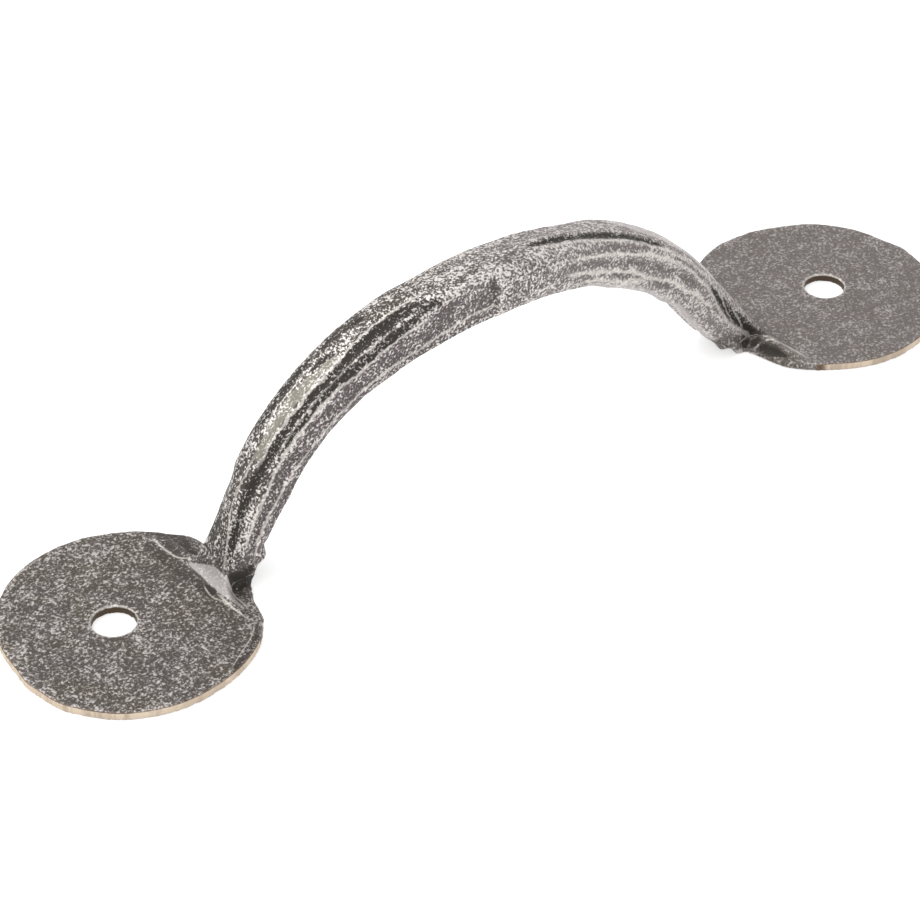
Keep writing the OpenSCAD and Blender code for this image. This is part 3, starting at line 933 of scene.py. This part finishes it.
class Bench:
    """Adds shader nodes to one tree and joins them."""

    def __init__(self, tree: bpy.types.NodeTree) -> None:
        """Starts with a tree."""
        self.tree = tree

    def node(self, kind: str, inputs: dict | None = None, **settings: object) -> bpy.types.Node:
        """Adds a node.

        Args:
            kind: The node's type.
            inputs: Values or sockets for its inputs, by name or number.
            settings: Its other properties.

        Returns:
            The node.
        """
        made = self.tree.nodes.new(kind)
        for name, value in settings.items():
            setattr(made, name, value)
        for key, value in (inputs or {}).items():
            if isinstance(value, Socket):
                self.tree.links.new(value, made.inputs[key])
            else:
                made.inputs[key].default_value = value
        return made

    def join(self, made: Socket, taken: Socket) -> None:
        """Links an output to an input."""
        self.tree.links.new(made, taken)

    def maths(self, operation: str, a: object, b: object = 0.0, c: object = 0.0,
              clamp: bool = False) -> Socket:
        """Returns the result of a Math node."""
        return self.node("ShaderNodeMath", {0: a, 1: b, 2: c}, operation=operation,
                         use_clamp=clamp).outputs[0]

    def times(self, first: object, *others: object) -> Socket:
        """Returns the product of two or more values."""
        for other in others:
            first = self.maths("MULTIPLY", first, other)
        return first

    def total(self, start: object, *terms: tuple[object, float]) -> Socket:
        """Returns a start value plus each other value times its weight."""
        for value, weight in terms:
            start = self.maths("MULTIPLY_ADD", value, weight, start)
        return start

    def step(self, value: object, low: object, high: object, top: object = 1.0) -> Socket:
        """Returns a value that rises smoothly from 0 at low to top at high."""
        return self.node("ShaderNodeMapRange", {"Value": value, "From Min": low, "From Max": high,
                                                "To Min": 0.0, "To Max": top},
                         interpolation_type="SMOOTHSTEP").outputs["Result"]

    def blend(self, share: object, a: object, b: object) -> Socket:
        """Returns the blend of two colours."""
        return self.node("ShaderNodeMix", {0: share, 6: a, 7: b}, data_type="RGBA").outputs[2]

    def grain(self, where: object, scale: object, detail: float = 2.0, rough: float = 0.5,
              warp: float = 0.0) -> Socket:
        """Returns a noise value."""
        return self.node("ShaderNodeTexNoise", {
            "Vector": where, "Scale": scale, "Detail": detail, "Roughness": rough, "Distortion": warp,
        }).outputs["Fac"]

    def line(self, way: object, side: object, bright_line: RubAndGlintLine) -> Socket:
        """Draws a bright line: rubbed wear on the bow, a painted highlight at a foot.

        Args:
            way: Distance in the line's own direction.
            side: Distance to its side.
            bright_line: The line.

        Returns:
            The strength of the line.
        """
        made = self.node("ShaderNodeFloatCurve", {"Value": self.total(0.5, (way, 1 / CURVE_SPAN))})
        points = made.mapping.curves[0].points
        marks = [(u / CURVE_SPAN + 0.5, s / CURVE_SPAN + 0.5) for u, s in bright_line.marks]
        while len(points) < len(marks):
            points.new(0.5, 0.5)
        for point, mark in zip(points, marks):
            point.location = mark
        made.mapping.update()
        middle = self.total(-CURVE_SPAN / 2, (made.outputs["Value"], CURVE_SPAN))
        off = self.maths("ABSOLUTE", self.maths("SUBTRACT", side, middle))
        first, last = bright_line.marks[0][0], bright_line.marks[-1][0]
        fade = min(3.0, (last - first) / 4)
        near = self.maths("SUBTRACT", 1.0, self.step(off, bright_line.half * 0.4, bright_line.half * 1.3))
        return self.times(near, self.step(way, first, first + fade), self.step(way, last, last - fade),
                          bright_line.level)

    def mark(self, name: str) -> Socket:
        """Returns one of the mesh's own attributes."""
        return self.node("ShaderNodeAttribute", attribute_name=name,
                         attribute_type="GEOMETRY").outputs["Fac"]


def screen(red: int, green: int, blue: int) -> tuple[float, float, float, float]:
    """Returns a screen colour, 0 to 255 a channel, as the shader takes it."""
    def linear(value: int) -> float:
        share = value / 255
        return share / 12.92 if share <= 0.04045 else ((share + 0.055) / 1.055) ** 2.4
    return (linear(red), linear(green), linear(blue), 1.0)


class SkinBench(Bench):
    """A bench that also knows where on the handle a point of its skin is, in millimetres."""

    def __init__(self, tree: bpy.types.NodeTree) -> None:
        """Starts with a tree, and reads the handle's own coordinates and the marks on its mesh."""
        super().__init__(tree)
        place = self.node("ShaderNodeTexCoord").outputs["Object"]
        self.place = self.node("ShaderNodeVectorMath", {0: place, "Scale": 1 / MM},
                               operation="SCALE").outputs["Vector"]
        self.x, self.y, self.z = self.node("ShaderNodeSeparateXYZ", {0: self.place}).outputs
        self.edge, self.relief, self.tarnish_and_shading, self.along, self.across, self.rim = (
            self.mark(name) for name in SKIN_MARKS)
        self.patches = self.grain(self.place, 0.42, detail=3.0, rough=0.65, warp=0.4)
        self.streaks = self.grain(self.drawn_out(0.16), 1.1, detail=3.0, rough=0.6)
        self.rolled = self.step(self.z, 1.6, 5.0)
        self.right_plate = self.step(self.x, 44.0, 46.0)
        self.bright_end = self.times(self.step(self.along, -14.0, 12.0), self.rolled)
        self.flank = self.times(self.step(self.across, -3.0, -5.0), self.step(self.across, -10.5, -9.0),
                                self.step(self.along, 8.0, -4.0), self.rolled)

    def drawn_out(self, stretch: float, layer: float = 0.0) -> Socket:
        """Returns coordinates that draw a pattern out along the sheet."""
        return self.node("ShaderNodeCombineXYZ", {
            "X": self.times(self.along, stretch), "Y": self.across, "Z": layer}).outputs[0]


@dataclass(frozen=True)
class PewterFinish:
    """Colours and grain of the aged pewter skin, with painted shade, painted highlights and painted glare
    among them.
    """

    name: str = "pewter_patina"
    skin: tuple = screen(100, 93, 89)
    warm_skin: tuple = screen(99, 91, 82)
    cool_skin: tuple = screen(126, 116, 117)
    # Dark tone: tarnish, and painted shade in the flutes, hollows and feet.
    dark: tuple = screen(46, 42, 36)
    fleck: tuple = screen(232, 227, 223)
    # Rubbed metal, and the painted highlights at the feet.
    rubbed_and_glint: tuple = screen(222, 217, 210)
    rim: tuple = screen(222, 205, 184)
    line: tuple = screen(104, 78, 54)
    pit: tuple = screen(46, 40, 36)
    veil: tuple = screen(148, 140, 139)
    # Painted shade inside a screw hole.
    wall: tuple = screen(76, 60, 44)
    pale: tuple = screen(168, 165, 153)
    # Painted light: the bright pale of painted highlights, glare and bounce light.
    painted_glare: tuple = screen(208, 202, 200)

    def pitting(self) -> bpy.types.NodeTree:
        """Builds the node group of the pitted, flecked skin.

        Returns:
            A group with Flecks, Pits and Height.
        """
        group = bpy.data.node_groups.new("pitted_skin", "ShaderNodeTree")
        face = group.interface
        for name, way, kind in (("Place", "INPUT", "Vector"), ("Cover", "INPUT", "Float"),
                                ("Soft", "INPUT", "Float"), ("Flecks", "OUTPUT", "Float"),
                                ("Pits", "OUTPUT", "Float"), ("Height", "OUTPUT", "Float")):
            face.new_socket(name, in_out=way, socket_type="NodeSocket" + kind)
        bench = Bench(group)
        start = bench.node("NodeGroupInput").outputs
        grains = bench.grain(start["Place"], 2.9, detail=0.8, rough=0.5, warp=0.3)
        fine = bench.grain(start["Place"], 6.0, detail=0.0)
        worms = bench.grain(start["Place"], 1.7, detail=1.0, rough=0.5, warp=0.6)
        worms = bench.maths("ABSOLUTE", bench.maths("SUBTRACT", worms, 0.5))
        worms = bench.maths("SUBTRACT", 1.0, bench.step(worms, 0.0, 0.09))
        value = bench.total(bench.times(grains, 0.78), (fine, 0.22), (worms, 0.07))
        low = bench.total(0.66, (start["Cover"], -0.24))
        flecks = bench.step(value, low, bench.maths("ADD", low, start["Soft"]))
        pits = bench.step(value, bench.maths("ADD", low, 0.01), bench.maths("SUBTRACT", low, 0.1))
        height = bench.total(bench.times(value, 0.65), (flecks, 0.35))
        bench.node("NodeGroupOutput", {"Flecks": flecks, "Pits": pits, "Height": height})
        return group

    def cover(self, bench: SkinBench) -> Socket:
        """Returns how much of the skin the pale flecks cover."""
        islands = bench.grain(bench.drawn_out(0.45, 3.0), 0.5, detail=2.0, rough=0.6, warp=0.5)
        islands = bench.times(bench.step(islands, 0.46, 0.56), bench.rolled)
        calm = bench.times(bench.maths("ABSOLUTE", bench.tarnish_and_shading),
                           bench.maths("SUBTRACT", 1.0, bench.rolled))
        crown = bench.times(bench.step(bench.along, -22.0, -6.0), bench.step(bench.along, 18.0, 6.0))
        cover = bench.total(
            0.17, (bench.step(bench.patches, 0.3, 0.72), 0.34), (bench.streaks, 0.5),
            (bench.relief, 0.22), (bench.maths("MAXIMUM", bench.tarnish_and_shading, 0.0), -0.2),
            (bench.maths("MINIMUM", bench.tarnish_and_shading, 0.0), 0.26), (bench.rolled, -0.08),
            (islands, 0.24), (calm, -0.45), (crown, 0.1), (bench.bright_end, 0.02),
            (bench.right_plate, -0.04), (bench.flank, -0.2))
        return bench.maths("MINIMUM", bench.maths("MAXIMUM", cover, 0.02), 1.0)

    def rubbing_and_glints(self, bench: SkinBench) -> Socket:
        """Returns where the skin is bright: rubbed on its ridges and along the bow's lines, and painted
        highlights along the feet's creases and edges.
        """
        wobble = bench.maths("SUBTRACT", bench.grain(bench.place, 0.9, detail=2.0), 0.5)
        shifted = bench.total(bench.across, (wobble, 0.9))
        on_foot, above = bench.step(bench.z, 3.4, 3.0), bench.step(bench.z, 1.5, 2.0)
        rubbed_and_glint = bench.times(bench.step(bench.edge, 0.45, 1.0, 0.6),
                             bench.total(0.35, (bench.rolled, 0.55)))
        # Lines along the bow are rubbed wear; crosswise lines at the feet are painted highlights.
        for bright_line in RUB_AND_GLINT_LINES:
            if bright_line.crosswise:
                line = bench.times(bench.line(bench.y, bench.x, bright_line), on_foot)
            else:
                line = bench.times(bench.line(bench.along, shifted, bright_line), above)
            rubbed_and_glint = bench.maths("MAXIMUM", rubbed_and_glint, line)
        return rubbed_and_glint

    def hole_edges(self, bench: SkinBench) -> tuple[Socket, Socket]:
        """Returns the bright ring round a screw hole, and the hole's wall, darkened as painted shade."""
        off = bench.maths("SUBTRACT", bench.maths("ABSOLUTE", bench.x), HandleSizes.hole_spacing / 2)
        off = bench.maths("SQRT", bench.maths("MULTIPLY_ADD", off, off, bench.times(bench.y, bench.y)))
        ring = bench.times(bench.step(off, 3.2, 3.02, 0.7), bench.step(bench.z, 0.95, 1.05))
        return ring, bench.times(bench.step(off, 3.3, 3.1), bench.step(bench.z, 1.05, 0.9))

    def build(self) -> bpy.types.Material:
        """Builds the material.

        Returns:
            The patina, layered from dark tarnish and painted shade to rubbed metal and painted
            highlights.
        """
        material = bpy.data.materials.new(self.name)
        material.use_nodes = True
        bench = SkinBench(material.node_tree)
        pits = bench.node("ShaderNodeGroup", {
            "Place": bench.place, "Cover": self.cover(bench),
            "Soft": bench.total(0.21, (bench.rolled, -0.05)),
        }, node_tree=self.pitting()).outputs
        broken = bench.total(0.42, (pits["Height"], 0.7))
        rubbed_and_glint = bench.maths("MULTIPLY", self.rubbing_and_glints(bench), broken, clamp=True)
        ring, wall = self.hole_edges(bench)
        ring = bench.maths("MULTIPLY", ring, broken, clamp=True)

        right_end = bench.maths("MAXIMUM", bench.right_plate, bench.step(bench.along, 4.0, 18.0))
        cool = bench.maths("ADD", bench.step(bench.patches, 0.5, 0.75, 0.5), bench.flank, clamp=True)
        veil = bench.maths("MAXIMUM", bench.times(bench.bright_end, 0.9),
                           bench.times(bench.right_plate, 0.4))
        # Darkest where tarnish is, partly patina and partly painted shade, and painted shade in the
        # hollows where the relief sinks, partly patina there too.
        dark = bench.maths("ADD", bench.step(bench.tarnish_and_shading, 0.05, 0.9, 0.85),
                           bench.step(bench.relief, 0.1, -0.9, 0.4), clamp=True)
        # Paler where the darkening runs below zero: painted highlights on the feet's crease facets and
        # edges, and painted glare and bounce light on the right leg, in the brighter pale there and at
        # the feet.
        light = bench.step(bench.tarnish_and_shading, -0.15, -0.75, 0.85)
        painted_glare = bench.maths("MAXIMUM", bench.step(bench.along, 0.0, 20.0), bench.step(bench.z, 3.6, 3.0))
        pitted = bench.times(pits["Pits"], bench.total(0.5, (bench.rolled, 0.05)),
                             bench.total(1.0, (right_end, -0.55)), bench.total(1.0, (light, -0.5)))
        flecked = bench.times(pits["Flecks"], bench.total(0.62, (bench.rolled, 0.34), (right_end, -0.2)),
                              bench.total(1.0, (dark, -0.4)))
        # The plates' upright outer edge is tinted pale cream, with a brown line along its border.
        rim_border, rim_pale = bench.step(bench.rim, 0.02, 0.25, 0.8), bench.step(bench.rim, 0.35, 0.7)
        rim_pale = bench.times(rim_pale, bench.total(0.65, (bench.step(bench.streaks, 0.35, 0.6), 0.35)))

        clouds = bench.grain(bench.place, 0.16, detail=3.0, rough=0.6, warp=0.5)
        colour = bench.blend(bench.step(clouds, 0.38, 0.6), self.warm_skin, self.skin)
        for share, tone in (
                (cool, self.cool_skin), (veil, self.veil), (dark, self.dark),
                (light, bench.blend(painted_glare, self.pale, self.painted_glare)), (pitted, self.pit),
                (flecked, self.fleck), (rubbed_and_glint, self.rubbed_and_glint), (rim_border, self.line), (rim_pale, self.rim),
                (ring, self.rubbed_and_glint), (wall, self.wall)):
            colour = bench.blend(share, colour, tone)
        bright = bench.maths("ADD", rubbed_and_glint, flecked, clamp=True)
        bump = bench.node("ShaderNodeBump", {"Height": pits["Height"], "Strength": 0.55,
                                             "Distance": 0.12 * MM})
        surface = material.node_tree.nodes["Principled BSDF"].inputs
        bench.join(colour, surface["Base Color"])
        bench.join(bench.total(0.45, (bright, 0.35)), surface["Metallic"])
        bench.join(bench.total(0.56, (bright, -0.16)), surface["Roughness"])
        bench.join(bump.outputs["Normal"], surface["Normal"])
        return material


@dataclass
class PhotoCamera:
    """The camera that took the photograph, as fitted to it."""

    azimuth_deg: float = -37.357
    elevation_deg: float = 38.227
    distance: float = 0.4213
    aim: tuple[float, float, float] = (-0.004945, 0.0008, 0.0)
    focal_px: float = 3151.2
    sensor_mm: float = 36.0

    def build(self) -> None:
        """Makes the camera and sets it as the scene's own."""
        azimuth, elevation = math.radians(self.azimuth_deg), math.radians(self.elevation_deg)
        back = Vector((
            math.sin(azimuth) * math.cos(elevation),
            -math.cos(azimuth) * math.cos(elevation),
            math.sin(elevation),
        ))
        data = bpy.data.cameras.new("photo_camera")
        data.sensor_width = self.sensor_mm
        data.lens = self.focal_px * self.sensor_mm / PHOTO_SIDE
        data.clip_start = 0.01
        camera = placed_in_scene("photo_camera", data)
        camera.location = Vector(self.aim) + back * self.distance
        camera.rotation_euler = back.to_track_quat("Z", "Y").to_euler()
        bpy.context.scene.camera = camera


@dataclass
class SoftLamp:
    """A square soft lamp that shines at the handle."""

    name: str
    place: tuple[float, float, float]
    side: float
    power: float

    def build(self) -> None:
        """Makes the lamp."""
        data = bpy.data.lights.new(self.name, "AREA")
        data.size = self.side
        data.energy = self.power
        lamp = placed_in_scene(self.name, data)
        lamp.location = self.place
        lamp.rotation_euler = Vector(self.place).to_track_quat("Z", "Y").to_euler()


@dataclass
class Studio:
    """A white floor and world with soft lamps."""

    floor_side: float = 4.0
    world_level: float = 0.6
    glow: float = 0.55
    lamps: tuple[SoftLamp, ...] = (
        SoftLamp("key_lamp", (-0.25, 0.30, 0.55), 0.8, 2.4),
        SoftLamp("front_lamp", (-0.35, -0.45, 0.30), 0.8, 0.9),
    )

    def build(self) -> None:
        """Makes the floor, the world and the lamps."""
        mesh = bpy.data.meshes.new("studio_floor")
        shape = bmesh.new()
        bmesh.ops.create_grid(shape, x_segments=1, y_segments=1, size=self.floor_side / 2)
        shape.to_mesh(mesh)
        shape.free()
        floor = placed_in_scene("studio_floor", mesh)
        mesh.materials.append(self.white_floor())

        world = bpy.data.worlds.new("studio_world")
        bpy.context.scene.world = world
        world.use_nodes = True
        self.white_world(Bench(world.node_tree))
        for lamp in self.lamps:
            lamp.build()

    def seen(self, bench: Bench) -> Socket:
        """Returns 1 for rays from the camera and for reflected and refracted ones."""
        rays = bench.node("ShaderNodeLightPath").outputs
        seen = bench.maths("ADD", rays["Is Camera Ray"], rays["Is Glossy Ray"], clamp=True)
        return bench.maths("ADD", seen, rays["Is Transmission Ray"], clamp=True)

    def white_floor(self) -> bpy.types.Material:
        """Returns the floor's material: white to the eye, with the handle's shadow kept."""
        material = bpy.data.materials.new("studio_white")
        material.use_nodes = True
        bench = Bench(material.node_tree)
        surface = material.node_tree.nodes["Principled BSDF"].inputs
        surface["Base Color"].default_value = (0.8, 0.8, 0.8, 1)
        surface["Roughness"].default_value = 1.0
        surface["Specular IOR Level"].default_value = 0.0
        surface["Emission Color"].default_value = (1, 1, 1, 1)
        bench.join(bench.times(self.seen(bench), self.glow), surface["Emission Strength"])
        return material

    def white_world(self, bench: Bench) -> None:
        """Sets a world that is white to the eye and lights at a plain level."""
        light = bench.tree.nodes["Background"]
        light.inputs["Color"].default_value = (1, 1, 1, 1)
        strength = bench.total(self.world_level, (self.seen(bench), 1 - self.world_level))
        bench.join(strength, light.inputs["Strength"])


def main() -> None:
    """Builds the stage and the handle in order."""
    logging.basicConfig(level=logging.INFO)
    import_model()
    bpy.context.scene.view_settings.view_transform = "Standard"
    PhotoCamera().build()
    Studio().build()
    LOG.info("stage built")
    handle = ForgedHandle().build()
    handle.data.materials.append(PewterFinish().build())
    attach(handle, "root")
    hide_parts("bow_handle")
    LOG.info("finish laid on the handle")


if __name__ == "__main__":
    main()
